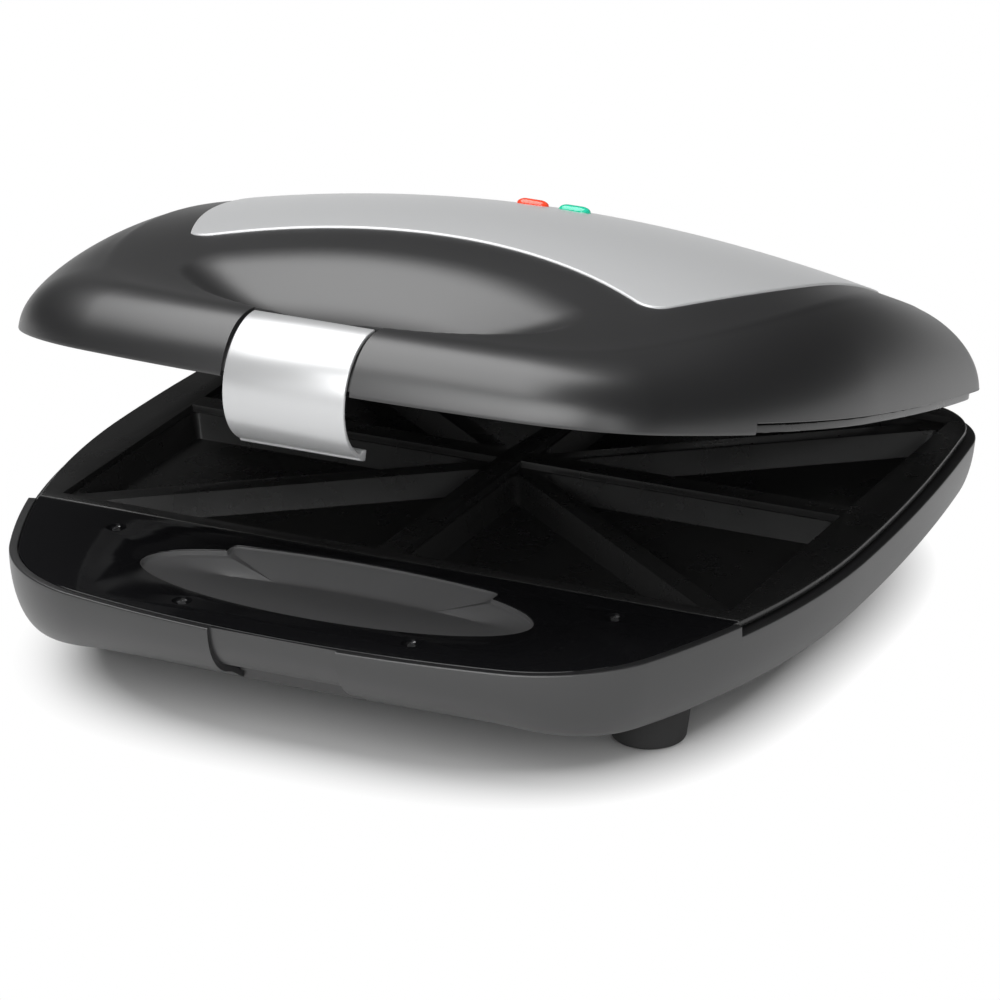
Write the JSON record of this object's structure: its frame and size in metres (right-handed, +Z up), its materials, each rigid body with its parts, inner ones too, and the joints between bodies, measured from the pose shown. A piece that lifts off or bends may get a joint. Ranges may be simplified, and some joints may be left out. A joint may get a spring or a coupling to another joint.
{
  "type": "sandwich toaster",
  "caption": "Countertop sandwich toaster with a domed hinged lid, silver insert, spring clip, pilot lights and plates with triangular wells",
  "frame": {"origin": "middle of the footprint, on the surface the feet stand on", "axes": "+X to the user's right, +Y to the back where the hinge is, +Z up"},
  "size_m": [0.3504, 0.3923, 0.1793],
  "materials": {
    "casing": "fine satin grain",
    "foot_rubber": "matte",
    "gloss_panel": "polished",
    "tray": "matte",
    "dark_screw": "blackened",
    "nonstick": "black non-stick coating, satin",
    "screw_steel": "zinc plated",
    "element_steel": "heat tinted",
    "ceramic": "unglazed",
    "sheet_steel": "zinc plated",
    "sheet_aluminium": "mill finish",
    "phenolic": "moulded",
    "inlet_black": "moulded",
    "wire_sleeve": "woven sleeve",
    "pin_steel": "ground",
    "lead_rubber": "matte",
    "silver_insert": "satin silver paint",
    "red_lens": "clear moulded",
    "green_lens": "clear moulded",
    "lamp_glass": "clear",
    "clip_silver": "satin silver",
    "spring_steel": "wire"
  },
  "bodies": {
    "base": {"base_casing": "casing", "catch_block": "casing", "feet": "casing", "foot_pads": "foot_rubber", "lower_panel": "gloss_panel", "lower_recess_tray": "tray", "panel_screws": "dark_screw", "lower_plate": "nonstick", "plate_screws": "screw_steel", "lower_element": "element_steel", "lower_element_seals": "ceramic", "lower_element_clamps": "sheet_steel", "lower_heat_shield": "sheet_aluminium", "thermostat": "phenolic", "thermal_fuse": "ceramic", "terminal_block": "ceramic", "inlet_bushing": "inlet_black", "lower_wiring": "wire_sleeve", "hinge_pins": "pin_steel", "base_hinge_lead": "lead_rubber"},
    "lid": {"lid_casing": "casing", "lid_insert": "silver_insert", "red_lens": "red_lens", "green_lens": "green_lens", "lamp_holder": "ceramic", "pilot_lamps": "lamp_glass", "clip_carrier": "casing", "upper_panel": "gloss_panel", "upper_recess_tray": "tray", "upper_panel_screws": "dark_screw", "upper_plate": "nonstick", "upper_plate_screws": "screw_steel", "upper_element": "element_steel", "upper_element_seals": "ceramic", "upper_element_clamps": "sheet_steel", "upper_heat_shield": "sheet_aluminium", "upper_wiring": "wire_sleeve", "lid_hinge_lead": "lead_rubber", "clip_pin": "pin_steel", "clip_spring": "spring_steel"},
    "clip": {"clip": "clip_silver"}
  },
  "joints": [
    {"name": "lid_hinge", "type": "hinge", "parent": "base", "child": "lid", "pos_m": [0, 0.1876, 0.058], "axis": [-1, 0, 0], "range_deg": [-15.3, 85]},
    {"name": "clip_pivot", "type": "hinge", "parent": "lid", "child": "clip", "pos_m": [0, -0.15783, 0.17365], "axis": [-1, 0, 0], "range_deg": [0, 28], "stiffness_Nm_per_rad": 0.03, "springref_deg": -11.46}
  ]
}
